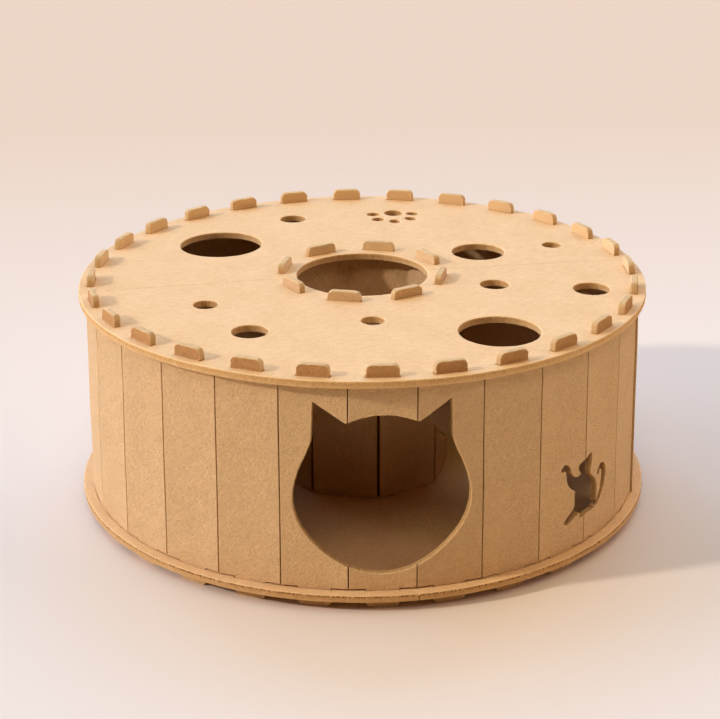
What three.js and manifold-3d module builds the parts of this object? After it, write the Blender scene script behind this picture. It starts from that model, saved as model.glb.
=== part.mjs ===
// A foldable tunnel house for a cat, cut from stiff felt board: two round discs, a folded outer wall in
// two strips, and a folded eight-sided inner wall. The ring between the walls is the tunnel, and the
// middle is an open well. Millimetres, +Z up. The origin is on the floor at the middle of the house,
// and the entrance faces -Y.
import * as THREE from "three";
import { mergeVertices } from "three/addons/utils/BufferGeometryUtils.js";
import Module from "manifold-3d";

// Driving dimensions: the discs
const TOP_RADIUS = 300;
const BOTTOM_RADIUS = 306.5;
const DISC_THICK = 7.5;
const TUNNEL_HEIGHT = 211.5; // clear height between the two discs
const WELL_HOLE_RADIUS = 70;

// Driving dimensions: the walls
const OUTER_PANELS = 28;
const OUTER_STRIPS = 2;
const OUTER_APOTHEM = 291; // middle of a panel's outer face, level with the top disc
const OUTER_APOTHEM_FOOT = 295; // the same, level with the bottom disc, because the wall leans in a little
const WELL_PANELS = 8;
const WELL_APOTHEM = 88.5;
const WALL_THICK = 7;
const SLIT_DEPTH = 5.3; // each fold is a slit this deep in the face that turns outwards
const STRIP_JOINT = 0.4; // gap where two ends of a strip meet

// Driving dimensions: the tabs and their slots
const TAB_WIDTH = 32;
const WELL_TAB_WIDTH = 35;
const TAB_CORNER = 6;
const CREST = 12; // how far a tab stands above the top disc
const FOOT = 11; // how far a tab stands below the bottom disc
const FOOT_CORNER = 5;
const SLOT_SIDE = 0.4; // room on each flat side of a tab
const SLOT_END = 0.6; // room at each end of a tab
const SHOULDER_GAP_TOP = 0.3;
const SHOULDER_GAP_FOOT = 1.2;

// Driving dimensions: the fold lines of the discs, which run between the tabs
const FOLD_WIDTH = 0.8;
const PANEL_STEP = 360 / OUTER_PANELS;
const WELL_STEP = 360 / WELL_PANELS;
const ENTRANCE_ANGLE = -90;
const TOP_FOLD_ANGLE = PANEL_STEP / 2;
const BOTTOM_FOLD_ANGLE = TOP_FOLD_ANGLE + 90;

// Levels above the floor
const BOTTOM_FACE = FOOT + DISC_THICK; // upper face of the bottom disc
const TOP_UNDER = BOTTOM_FACE + TUNNEL_HEIGHT;
const TOP_FACE = TOP_UNDER + DISC_THICK;
const TAB_TOP = TOP_FACE + CREST;

// Round holes in the top disc, as distance from the middle, angle and diameter
const HOLES = [
  { at: 190, angle: 142.5, across: 91 },
  { at: 218, angle: -55.5, across: 82 },
  { at: 149, angle: 27, across: 58 },
  { at: 204, angle: -126.5, across: 37 },
  { at: 244, angle: -14.5, across: 39 },
  { at: 218, angle: 108, across: 30 },
  { at: 185, angle: -153.5, across: 26 },
  { at: 143, angle: -89.5, across: 24 },
  { at: 143, angle: -17.5, across: 31 },
  { at: 235, angle: 22, across: 22 },
];

// The paw print in the top disc: a heel pad with five toes, each an ellipse placed from the pad
const PAW = {
  at: 229,
  angle: 77,
  turn: 180,
  parts: [
    { x: 0, y: 0, wide: 22, long: 24, lean: 0 },
    { x: -22, y: 4, wide: 13, long: 15, lean: 70 },
    { x: -18, y: 24, wide: 13, long: 15, lean: 38 },
    { x: 1, y: 34, wide: 13, long: 15, lean: 0 },
    { x: 20, y: 25, wide: 14, long: 16, lean: -38 },
    { x: 24, y: 4, wide: 14, long: 16, lean: -70 },
  ],
};

// The entrance: a cat's head with two pointed ears, by heights above the bottom disc and half widths
const HEAD = {
  chinHeight: 17.5,
  cheekHeight: 94,
  cheekHalf: 85,
  templeHeight: 160,
  templeHalf: 66,
  earTipHeight: 194,
  earTipHalf: 65,
  earInnerHeight: 173.5,
  earInnerHalf: 34,
  browHeight: 181,
  chinHandleHalf: 32,
  jawHandleHeight: 48,
  cheekHandleHeight: 122,
  templeHandleHeight: 144,
  curveSteps: 9,
};

// The doorway between tunnel and well: round, centred on a fold of the inner wall
const DOOR_RADIUS = 79;
const DOOR_HEIGHT = TUNNEL_HEIGHT / 2;

// The little cat cut out of the wall, drawn about the middle of its own base
const FIGURE = { along: 236, height: 27, pathSteps: 3, strokeSteps: 5 };

const FELT = 0xc79a68;
const CHORD_ERROR = 0.2; // how far a chord may lie inside the round edge that it stands for
const CORNER_STEPS = 2; // chords in the round corner of a tab
const CAP_STEPS = 4; // chords in the round end of a stroke
const THROUGH = 3 * WALL_THICK; // length of a cut that goes right through a wall
const OVERCUT = 0.05; // how far the cut of one panel runs past its folds, so that no sliver is left on them

const wasm = await Module();
wasm.setup();

function solidOf(geometry) {
  const bare = geometry.index ? geometry.toNonIndexed() : geometry.clone();
  bare.deleteAttribute("normal");
  bare.deleteAttribute("uv");
  const merged = mergeVertices(bare, 1e-4);
  return new wasm.Manifold(
    new wasm.Mesh({
      numProp: 3,
      vertProperties: merged.attributes.position.array,
      triVerts: new Uint32Array(merged.index.array),
    }),
  );
}

function geometryOf(solid) {
  const { numProp, vertProperties, triVerts } = solid.getMesh();
  const points = new Float32Array((vertProperties.length / numProp) * 3);
  for (let i = 0; i * numProp < vertProperties.length; i++)
    points.set(vertProperties.subarray(i * numProp, i * numProp + 3), i * 3);
  return new THREE.BufferGeometry()
    .setAttribute("position", new THREE.BufferAttribute(points, 3))
    .setIndex(new THREE.BufferAttribute(new Uint32Array(triVerts), 1));
}

function prism(outline, depth) {
  return new THREE.ExtrudeGeometry(new THREE.Shape(outline), { depth, bevelEnabled: false });
}

const radians = THREE.MathUtils.degToRad;

function polar(radius, degrees) {
  return new THREE.Vector2(radius, 0).rotateAround(new THREE.Vector2(), radians(degrees));
}

function ellipse(centre, wide, long, lean = 0) {
  const chord = 2 * Math.acos(1 - CHORD_ERROR / (Math.max(wide, long) / 2));
  const count = 4 * Math.ceil(Math.PI / 2 / chord);
  const curve = new THREE.EllipseCurve(0, 0, wide / 2, long / 2, 0, 2 * Math.PI, false, radians(lean));
  return curve.getPoints(count).slice(0, count).map((p) => p.add(centre));
}

function box(sizeX, sizeY, sizeZ) {
  return new THREE.BoxGeometry(sizeX, sizeY, sizeZ);
}

// A prism of an outline that goes right through a wall whose outer face is at z = 0.
function through(outline) {
  return prism(outline, THROUGH).translate(0, 0, WALL_THICK - THROUGH);
}

// A folded wall: flat panels of one felt strip, each fold open as a slit on its outer face.
class Wall {
  constructor({ apothem, panels, first, tab }) {
    this.apothem = apothem;
    this.panels = panels;
    this.first = first; // the angle of the middle of panel 0
    this.step = 360 / panels;
    this.tab = tab;
    this.half = (apothem - SLIT_DEPTH) * Math.tan(radians(this.step / 2));
    this.innerHalf = (apothem - WALL_THICK) * Math.tan(radians(this.step / 2));
  }

  // A point of panel n in plan: its distance along the panel from the middle, and its depth under the
  // outer face.
  point(n, along, depth) {
    return new THREE.Vector2(this.apothem - depth, along).rotateAround(
      new THREE.Vector2(),
      radians(this.first + n * this.step),
    );
  }

  // The plan outline of the panels from one number up to another.
  outline(from, to) {
    const points = [];
    for (let n = from; n <= to; n++) {
      const start = n === from ? STRIP_JOINT / 2 : 0;
      const end = n === to ? STRIP_JOINT / 2 : 0;
      if (start) points.push(this.point(n, start - this.half, SLIT_DEPTH));
      points.push(this.point(n, start - this.half, 0), this.point(n, this.half - end, 0));
      points.push(this.point(n, this.half - end, SLIT_DEPTH));
    }
    points.push(this.point(to, this.innerHalf - STRIP_JOINT / 2, WALL_THICK));
    for (let n = to - 1; n >= from; n--) points.push(this.point(n, this.innerHalf, WALL_THICK));
    points.push(this.point(from, STRIP_JOINT / 2 - this.innerHalf, WALL_THICK));
    return points;
  }

  // Stands a shape on panel n. In the shape x runs along the panel, y up from the floor, and z out of
  // its outer face.
  stand(n, geometry) {
    const upright = geometry.rotateX(Math.PI / 2).rotateZ(Math.PI / 2);
    return upright.translate(this.apothem, 0, 0).rotateZ(radians(this.first + n * this.step));
  }

  // What is cut away above or below panel n, so that one tab is left standing between two shoulders.
  beside(n, shoulder, edge, corner) {
    const up = Math.sign(edge - shoulder);
    const reach = this.half + WALL_THICK;
    const beyond = edge + up * WALL_THICK;
    const side = this.tab / 2;
    const bend = new THREE.EllipseCurve(0, 0, corner, corner, 0, Math.PI / 2).getPoints(CORNER_STEPS);
    const right = bend.map((p) => new THREE.Vector2(side - corner + p.x, edge + up * (p.y - corner)));
    const left = right.map((p) => new THREE.Vector2(-p.x, p.y));
    const outline = [
      new THREE.Vector2(-reach, shoulder),
      new THREE.Vector2(-side, shoulder),
      ...left,
      ...right.reverse(),
      new THREE.Vector2(side, shoulder),
      new THREE.Vector2(reach, shoulder),
      new THREE.Vector2(reach, beyond),
      new THREE.Vector2(-reach, beyond),
    ];
    return solidOf(this.stand(n, through(outline)));
  }

  strip(from, to) {
    let felt = solidOf(prism(this.outline(from, to), TAB_TOP));
    for (let n = from; n <= to; n++) {
      felt = felt.subtract(this.beside(n, TOP_UNDER - SHOULDER_GAP_TOP, TAB_TOP, TAB_CORNER));
      felt = felt.subtract(this.beside(n, BOTTOM_FACE + SHOULDER_GAP_FOOT, 0, FOOT_CORNER));
    }
    return felt;
  }

  // Cuts an outline that was drawn on the flat strip, with x measured along it from the middle of panel 0.
  cutFlat(felt, from, to, outline) {
    const flat = solidOf(through(outline));
    for (let n = from; n <= to; n++) {
      const middle = 2 * n * this.half;
      const panel = box(2 * (this.half + OVERCUT), 2 * TAB_TOP, 2 * THROUGH).translate(middle, 0, 0);
      const share = flat.intersect(solidOf(panel));
      if (share.isEmpty()) continue;
      felt = felt.subtract(solidOf(this.stand(n, geometryOf(share).translate(-middle, 0, 0))));
    }
    return felt;
  }

  // The slots for this wall's tabs in a disc, as outlines in plan, at the wall's width there.
  slots(spread) {
    const along = (this.tab / 2) * spread + SLOT_END;
    const outer = this.apothem * (spread - 1);
    return Array.from({ length: this.panels }, (_, n) => [
      this.point(n, -along, -outer - SLOT_SIDE),
      this.point(n, along, -outer - SLOT_SIDE),
      this.point(n, along, WALL_THICK - outer + SLOT_SIDE),
      this.point(n, -along, WALL_THICK - outer + SLOT_SIDE),
    ]);
  }
}

// The outer wall is built upright and then leans: it widens evenly from the top disc down to the floor.
function spreadAt(height) {
  const slope = (OUTER_APOTHEM_FOOT / OUTER_APOTHEM - 1) / (TOP_FACE - BOTTOM_FACE);
  return 1 + slope * (TOP_FACE - height);
}

function leaned(geometry) {
  const place = geometry.attributes.position;
  for (let i = 0; i < place.count; i++) {
    const spread = spreadAt(place.getZ(i));
    place.setXY(i, place.getX(i) * spread, place.getY(i) * spread);
  }
  return geometry;
}

function headOutline() {
  const side = new THREE.Path();
  side.moveTo(0, HEAD.chinHeight);
  side.bezierCurveTo(
    HEAD.chinHandleHalf,
    HEAD.chinHeight,
    HEAD.cheekHalf,
    HEAD.jawHandleHeight,
    HEAD.cheekHalf,
    HEAD.cheekHeight,
  );
  side.bezierCurveTo(
    HEAD.cheekHalf,
    HEAD.cheekHandleHeight,
    HEAD.templeHalf,
    HEAD.templeHandleHeight,
    HEAD.templeHalf,
    HEAD.templeHeight,
  );
  side.lineTo(HEAD.earTipHalf, HEAD.earTipHeight);
  side.lineTo(HEAD.earInnerHalf, HEAD.earInnerHeight);
  side.quadraticCurveTo(HEAD.earInnerHalf / 2, HEAD.browHeight, 0, HEAD.browHeight);
  const right = side.getPoints(HEAD.curveSteps);
  const left = right.slice(1, -1).map((p) => new THREE.Vector2(-p.x, p.y));
  return [...right, ...left.reverse()].map((p) => p.add(new THREE.Vector2(0, BOTTOM_FACE)));
}

// A rounded stroke along a curve, as wide at each end as the two widths say.
function stroke(curve, widthStart, widthEnd) {
  const left = [];
  const right = [];
  for (let i = 0; i <= FIGURE.strokeSteps; i++) {
    const t = i / FIGURE.strokeSteps;
    const place = curve.getPoint(t);
    const side = curve.getTangent(t).rotateAround(new THREE.Vector2(), Math.PI / 2);
    const half = THREE.MathUtils.lerp(widthStart, widthEnd, t) / 2;
    left.push(place.clone().addScaledVector(side, half));
    right.push(place.clone().addScaledVector(side, -half));
  }
  const end = curve.getPoint(1);
  const ahead = curve.getTangent(1);
  const cap = new THREE.EllipseCurve(end.x, end.y, widthEnd / 2, widthEnd / 2, 0, Math.PI).getPoints(CAP_STEPS);
  const turn = ahead.angle() - Math.PI / 2;
  const round = cap.slice(1, -1).map((p) => p.rotateAround(end, turn));
  return [...left.reverse(), ...right, ...round];
}

function quadratic(ax, ay, bx, by, cx, cy) {
  return new THREE.QuadraticBezierCurve(
    new THREE.Vector2(ax, ay),
    new THREE.Vector2(bx, by),
    new THREE.Vector2(cx, cy),
  );
}

function cubic(ax, ay, bx, by, cx, cy, dx, dy) {
  return new THREE.CubicBezierCurve(
    new THREE.Vector2(ax, ay),
    new THREE.Vector2(bx, by),
    new THREE.Vector2(cx, cy),
    new THREE.Vector2(dx, dy),
  );
}

// A standing cat with one paw raised and its tail in a hook, as separate outlines that run into each other.
function figureOutlines() {
  const body = new THREE.Path();
  body.moveTo(-24, 13);
  body.quadraticCurveTo(-25, 24, -24, 36);
  body.quadraticCurveTo(-25, 44, -21, 49);
  body.quadraticCurveTo(-17, 50, -13, 54);
  body.quadraticCurveTo(-6, 56, 0, 52);
  body.quadraticCurveTo(-1, 45, 5, 41);
  body.bezierCurveTo(16, 34, 15, 18, 12, 5);
  body.quadraticCurveTo(-4, 6, -13, 5);
  const head = new THREE.Path();
  head.moveTo(2.5, 68.5);
  head.quadraticCurveTo(-7, 67, -12, 64.5);
  head.quadraticCurveTo(-23, 60, -18.5, 55);
  head.quadraticCurveTo(-16, 51, -11, 49);
  head.quadraticCurveTo(-3, 47, 0, 51);
  head.quadraticCurveTo(3.5, 58, 2.5, 68.5);
  const arm = stroke(quadratic(-19, 41, -32, 44, -34, 57), 15, 5);
  const paw = stroke(quadratic(-34, 56, -36, 66, -42, 64), 5, 5);
  const foot = stroke(quadratic(-21, 14, -26, 9, -35, 4), 8, 5);
  const heel = stroke(quadratic(10, 7, -4, 6, -15.5, 4.5), 7, 4);
  const tail = stroke(quadratic(11, 6, 26, 14, 28.3, 36), 3.5, 6.5);
  const hook = stroke(cubic(28.3, 35, 29, 47, 19, 47, 17.5, 40), 6.5, 3.5);
  const headPoints = head.getPoints(FIGURE.pathSteps).slice(0, -1);
  return [body.getPoints(FIGURE.pathSteps), headPoints, arm, paw, foot, heel, tail, hook];
}

// A disc with its holes and slots, and its fold line slit into the underside.
function disc(radius, under, holes, foldAngle) {
  const plate = new THREE.Shape(ellipse(new THREE.Vector2(), 2 * radius, 2 * radius).reverse());
  for (const hole of holes) plate.holes.push(new THREE.Path(hole));
  const felt = new THREE.ExtrudeGeometry(plate, { depth: DISC_THICK, bevelEnabled: false });
  const slit = box(3 * radius, FOLD_WIDTH, 2 * SLIT_DEPTH).rotateZ(radians(foldAngle));
  return geometryOf(solidOf(felt).subtract(solidOf(slit))).translate(0, 0, under);
}

function pawOutlines() {
  const middle = polar(PAW.at, PAW.angle);
  return PAW.parts.map(({ x, y, wide, long, lean }) => {
    const centre = new THREE.Vector2(x, y).rotateAround(new THREE.Vector2(), radians(PAW.turn)).add(middle);
    return ellipse(centre, wide, long, lean + PAW.turn);
  });
}

function felt(name, geometry) {
  const material = new THREE.MeshStandardMaterial({ color: FELT, roughness: 1, metalness: 0 });
  const mesh = new THREE.Mesh(geometry, material);
  mesh.name = name;
  return mesh;
}

const outerWall = new Wall({
  apothem: OUTER_APOTHEM,
  panels: OUTER_PANELS,
  first: ENTRANCE_ANGLE,
  tab: TAB_WIDTH,
});
const wellWall = new Wall({
  apothem: WELL_APOTHEM,
  panels: WELL_PANELS,
  first: TOP_FOLD_ANGLE + WELL_STEP / 2,
  tab: WELL_TAB_WIDTH,
});

// The front strip runs eight panels to the left of the entrance and five to its right. The back strip is
// the rest.
const FRONT_FIRST = -8;
const STRIP_PANELS = OUTER_PANELS / OUTER_STRIPS;

function frontStrip() {
  const last = FRONT_FIRST + STRIP_PANELS - 1;
  let strip = outerWall.strip(FRONT_FIRST, last);
  strip = outerWall.cutFlat(strip, FRONT_FIRST, last, headOutline());
  const base = new THREE.Vector2(FIGURE.along, BOTTOM_FACE + FIGURE.height);
  for (const outline of figureOutlines())
    strip = outerWall.cutFlat(strip, FRONT_FIRST, last, outline.map((p) => p.add(base)));
  return leaned(geometryOf(strip));
}

function backStrip() {
  const first = FRONT_FIRST + STRIP_PANELS;
  return leaned(geometryOf(outerWall.strip(first, first + STRIP_PANELS - 1)));
}

// The inner wall's panels 0 and -1 share the fold that the doorway is centred on.
function innerStrip() {
  const from = -WELL_PANELS / 2;
  const to = WELL_PANELS / 2 - 1;
  const centre = new THREE.Vector2(-wellWall.half, BOTTOM_FACE + DOOR_HEIGHT);
  const door = ellipse(centre, 2 * DOOR_RADIUS, 2 * DOOR_RADIUS);
  return geometryOf(wellWall.cutFlat(wellWall.strip(from, to), from, to, door));
}

const topHoles = [
  ...outerWall.slots(spreadAt(TOP_FACE - DISC_THICK / 2)),
  ...wellWall.slots(1),
  ...HOLES.map(({ at, angle, across }) => ellipse(polar(at, angle), across, across)),
  ...pawOutlines(),
  ellipse(new THREE.Vector2(), 2 * WELL_HOLE_RADIUS, 2 * WELL_HOLE_RADIUS),
];
const bottomHoles = [
  ...outerWall.slots(spreadAt(BOTTOM_FACE - DISC_THICK / 2)),
  ...wellWall.slots(1),
];

const discs = new THREE.Group();
discs.add(felt("top_disc", disc(TOP_RADIUS, TOP_UNDER, topHoles, TOP_FOLD_ANGLE)));
discs.add(felt("bottom_disc", disc(BOTTOM_RADIUS, FOOT, bottomHoles, BOTTOM_FOLD_ANGLE)));

const walls = new THREE.Group();
walls.add(felt("outer_wall_front", frontStrip()));
walls.add(felt("outer_wall_back", backStrip()));
walls.add(felt("inner_wall", innerStrip()));

const house = new THREE.Group();
house.add(discs, walls);
export default house;
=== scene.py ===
from dataclasses import dataclass, field
from math import atan2, ceil, cos, hypot, pi, radians, sin, tan
from typing import NamedTuple

import bpy
import numpy as np
from bpy.props import FloatProperty, FloatVectorProperty, PointerProperty
from bpy.types import Operator, Panel, PropertyGroup
from mathutils import Matrix, Vector
from mathutils.geometry import delaunay_2d_cdt
from mathutils.kdtree import KDTree


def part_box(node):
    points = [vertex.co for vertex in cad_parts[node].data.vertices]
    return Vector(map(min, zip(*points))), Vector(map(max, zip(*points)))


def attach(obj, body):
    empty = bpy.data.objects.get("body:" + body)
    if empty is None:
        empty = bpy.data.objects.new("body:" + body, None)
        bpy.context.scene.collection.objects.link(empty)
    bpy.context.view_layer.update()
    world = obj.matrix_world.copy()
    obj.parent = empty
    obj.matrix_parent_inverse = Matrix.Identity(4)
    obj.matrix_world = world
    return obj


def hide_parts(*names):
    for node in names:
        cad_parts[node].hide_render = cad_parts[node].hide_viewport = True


bl_info = {
    "name": "Cat Tunnel House",
    "version": (1, 0, 0),
    "blender": (4, 5, 0),
    "location": "View3D > Sidebar > Tunnel House",
    "description": "A folding tunnel house for a cat, cut from stiff felt board",
    "category": "Add Mesh",
}

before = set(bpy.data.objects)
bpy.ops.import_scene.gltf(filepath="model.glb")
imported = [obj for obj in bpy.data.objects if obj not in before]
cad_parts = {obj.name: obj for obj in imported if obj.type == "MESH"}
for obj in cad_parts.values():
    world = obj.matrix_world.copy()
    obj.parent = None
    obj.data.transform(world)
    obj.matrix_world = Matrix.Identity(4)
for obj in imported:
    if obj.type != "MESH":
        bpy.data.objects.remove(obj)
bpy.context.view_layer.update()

# Flat patterns are drawn in millimetres, as a maker's cutting plan is. METRE turns them into scene units.
METRE = 0.001
MILLI = 1000.0


def reach(node, axis):
    """Lowest and highest place of a piece of the frame along one axis, in millimetres."""
    low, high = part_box(node)
    return low[axis] * MILLI, high[axis] * MILLI


# Discs
TOP_RADIUS = reach("top_disc", 0)[1]
BOTTOM_RADIUS = reach("bottom_disc", 0)[1]
BOTTOM_FACE = reach("bottom_disc", 2)[1]
TOP_UNDER, TOP_FACE = reach("top_disc", 2)
DISC_THICK = TOP_FACE - TOP_UNDER
WELL_HOLE_RADIUS = 70
TOP_FOLD_ANGLE = 6.4286
BOTTOM_FOLD_ANGLE = 96.4286

# Walls
TAB_TOP = reach("outer_wall_front", 2)[1]
TUNNEL_HEIGHT = TOP_UNDER - BOTTOM_FACE
OUTER_PANELS = 28
OUTER_APOTHEM = 291
OUTER_APOTHEM_FOOT = 295
ENTRANCE_ANGLE = -90
STRIP_PANELS = 14
FRONT_FIRST = -8
WELL_PANELS = 8
WELL_APOTHEM = 88.5
WELL_ANGLE = 28.9286
WALL_THICK = 7
SLIT_DEPTH = 5.3
STRIP_JOINT = 0.4

# Tabs, and the slots that they stand in
TAB_WIDTH = 32
WELL_TAB_WIDTH = 35
TAB_CORNER = 6
FOOT_CORNER = 5
SLOT_SIDE = 0.4
SLOT_END = 0.6
SHOULDER_TOP = TOP_UNDER - 0.3
SHOULDER_FOOT = BOTTOM_FACE + 1.2

# Round holes in the top disc: distance from the middle, angle and width
HOLES = [
    (190, 142.5, 91),
    (218, -55.5, 82),
    (149, 27, 58),
    (204, -126.5, 37),
    (244, -14.5, 39),
    (218, 108, 30),
    (185, -153.5, 26),
    (143, -89.5, 24),
    (143, -17.5, 31),
    (235, 22, 22),
]

# The paw print: where its pad is, how far it is turned, and each part's place, size and lean
PAW_AT = (229, 77)
PAW_TURN = 180
PAW = [
    (0, 0, 22, 24, 0),
    (-22, 4, 13, 15, 70),
    (-18, 24, 13, 15, 38),
    (1, 34, 13, 15, 0),
    (20, 25, 14, 16, -38),
    (24, 4, 14, 16, -70),
]

DOOR_RADIUS = 79
FIGURE_ALONG = 236
FIGURE_HEIGHT = 27

# Area of each cut piece in square metres, worked out from its cutting plan
FRONT_AREA = 0.183
BACK_AREA = 0.209

# How unevenly the felt stands
TOP_CROWN = 2.3
DISC_WAVE = 0.22
DISC_WAVE_WIDTH = 170
WALL_BOW = 0.35
WALL_BOW_WIDTH = 120
BOW_EASE = 40  # a wall is held straight at both discs, and its bow grows over this height
TAB_TILT = 0.9
TILTED_TABS = 64  # so many tilts are drawn, more than there are tabs
TAB_CURL = 1.5
RAGGED_WIDTHS = (5, 2.2)
END_SPRING = 2.2  # the ends of the back strip spring out by this much
SPRING_PAST_TAB = 6

# The crease over a disc's fold, and the deeper notch where it runs out over the rim
CREASE_DEEP = 0.25
CREASE_WIDE = 1.3
CREASE_FADE = 3
NOTCH_DEEP = 1.1
NOTCH_LONG = 7
CREASE_STEP = 4.0
CREASE_GUIDES = (-3.2, -1.4, 1.4, 3.2)

# Rows of points run from the face of the felt over its cut side to its back. In each row, a share of the
# loose fluff shows, in a lighter colour that is partly the fluff's own and partly a painted highlight, and a
# share of the colour is that of the cut side.
FLUFF_HIGHLIGHT_SHARES = (0, 0.7, 1, 0.6, 0, 0, 0.6, 1, 0.7, 0)
SIDE_SHARES = (0, 0, 0.5, 1, 1, 1, 1, 0.5, 0, 0)
FOLD_FLUFF_HIGHLIGHT = 0.5  # how much of that fluff shows along a fold
ROUND_START = 0.3  # share of the rounding in the row that begins it
FACE_BORDER = 0.5  # how far in from the rounding the border of a face lies
WALL_SLIT_GAPS = (0.6, 0.25, 0.05, 0, 0)  # how far a side of a wall's slit stands back, row by row
DISC_SLIT_GAPS = (0.4, 0.4, 0.5, 0.8, 1.2)  # the same for the slit in a disc's underside
DISC_SLIT_END = 0.1
SHARP_ANGLE = 48

# How finely the felt is meshed
EDGE_STEP = 2.4
FACE_STEP = 6.0
ROW_SHARE = 0.87
FOLD_STEP = 5.0
FOLD_OVERRUN = 2
EDGE_ROOM = 1.9
GUIDE_ROOM = 1.1
SAME_POINT = 1e-4
NO_AREA = 1e-5


def polar(distance, angle):
    """A flat point from its distance and its angle in degrees."""
    return np.array([distance * cos(radians(angle)), distance * sin(radians(angle))])


def turned(points, angle):
    """Flat points turned round the origin by an angle in degrees."""
    c, s = cos(radians(angle)), sin(radians(angle))
    points = np.asarray(points, float)
    return np.stack([points[..., 0] * c - points[..., 1] * s, points[..., 0] * s + points[..., 1] * c], -1)


def ellipse(centre, wide, long, lean=0.0):
    """A closed outline with points about one step apart."""
    count = max(16, ceil(pi * (wide + long) / 2 / EDGE_STEP))
    angles = np.arange(count) * 2 * pi / count
    ring = np.stack([wide / 2 * np.cos(angles), long / 2 * np.sin(angles)], -1)
    return turned(ring, lean) + centre


def circle(centre, radius):
    """A round outline."""
    return ellipse(centre, 2 * radius, 2 * radius)


def bezier(*handles, steps=20):
    """Points of a curve with two, three or four handles, without its last point."""
    points = np.array(handles, float)[None].repeat(steps, 0)
    t = (np.arange(steps) / steps)[:, None, None]
    while points.shape[1] > 1:
        points = points[:, :-1] * (1 - t) + points[:, 1:] * t
    return points[:, 0]


def stroke(handles, start, end, steps=16, cap_steps=8):
    """A stroke along a curve with a rounded end, as wide at each end as the two widths say."""
    middle = np.vstack([bezier(*handles, steps=steps), handles[-1]])
    ahead = np.gradient(middle, axis=0)
    ahead /= np.linalg.norm(ahead, axis=1)[:, None]
    side = np.stack([-ahead[:, 1], ahead[:, 0]], -1)
    half = np.linspace(start, end, len(middle))[:, None] / 2
    turn = atan2(ahead[-1, 1], ahead[-1, 0])
    angles = turn - pi / 2 + np.linspace(0, pi, cap_steps + 1)[1:-1]
    cap = middle[-1] + end / 2 * np.stack([np.cos(angles), np.sin(angles)], -1)
    return np.vstack([middle - side * half, cap, (middle + side * half)[::-1]])


def divided(loop, step):
    """A closed outline with points at most one step apart."""
    out = []
    for here, there in zip(loop, np.roll(loop, -1, 0)):
        count = max(1, ceil(hypot(*(there - here)) / step))
        out.extend(here + (there - here) * i / count for i in range(count))
    return np.array(out)


def inside(points, loop, batch=1500):
    """Which points lie inside a closed outline."""
    ahead = np.roll(loop, -1, 0)
    result = np.zeros(len(points), bool)
    low, high = loop.min(0), loop.max(0)
    near = np.flatnonzero(((points > low) & (points < high)).all(1))
    for part in np.array_split(near, len(near) // batch + 1):
        x, y = points[part, 0][:, None], points[part, 1][:, None]
        crosses = (loop[:, 1] > y) != (ahead[:, 1] > y)
        rise = np.where(ahead[:, 1] == loop[:, 1], 1, ahead[:, 1] - loop[:, 1])
        at = loop[:, 0] + (y - loop[:, 1]) * (ahead[:, 0] - loop[:, 0]) / rise
        result[part] = (crosses & (x < at)).sum(1) % 2 == 1
    return result


def unevenness(points, width, seed, waves=7, shortest=0.7, longest=1.6):
    """A smooth, seeded rise and fall, mostly between -1 and 1, over points of any number of axes."""
    draw = np.random.default_rng(seed)
    total = np.zeros(len(points))
    for _ in range(waves):
        ahead = draw.normal(size=points.shape[1])
        ahead *= 2 * pi / (width * draw.uniform(shortest, longest) * np.linalg.norm(ahead))
        total += np.sin(points @ ahead + draw.uniform(0, 2 * pi))
    return total / waves**0.5


def eased(values, low, high):
    """Nought below low, one above high and smooth between."""
    t = np.clip((values - low) / (high - low), 0, 1)
    return t * t * (3 - 2 * t)


@dataclass
class Edge:
    """Rows of points from face to back: their depths, and how far they are set in at a cut and at a fold."""

    depths: list
    cut: list
    fold: list
    joined: list  # which rows run on across a fold


def side_rows(r, thick, middle):
    """Depths and insets of the rows of a cut side, rounded by r at both ends, with two rows in its middle."""
    depths = [0, 0, ROUND_START * r, r, *middle, thick - r, thick - ROUND_START * r, thick, thick]
    cut = [r + FACE_BORDER, r, ROUND_START * r, 0, 0, 0, 0, ROUND_START * r, r, r + FACE_BORDER]
    return depths, cut


def wall_edge(round_off, step):
    """A wall's slits are open on its outer face. Behind them the felt bends in the corner of two panels."""
    depths, cut = side_rows(round_off, WALL_THICK, (WALL_THICK / 2, SLIT_DEPTH))
    joined = [depth >= SLIT_DEPTH for depth in depths]
    bend = [(depth - SLIT_DEPTH) * tan(step / 2) for depth in depths]
    return Edge(depths, cut, [*WALL_SLIT_GAPS, *bend[len(WALL_SLIT_GAPS):]], joined)


def disc_edge(round_off):
    """A disc's fold is a slit in its underside."""
    skin = DISC_THICK - SLIT_DEPTH
    depths, cut = side_rows(round_off, DISC_THICK, (skin, skin + DISC_SLIT_END))
    joined = [depth <= skin for depth in depths]
    whole = len(depths) - len(DISC_SLIT_GAPS)
    return Edge(depths, cut, [*[0] * whole, *DISC_SLIT_GAPS], joined)


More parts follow.
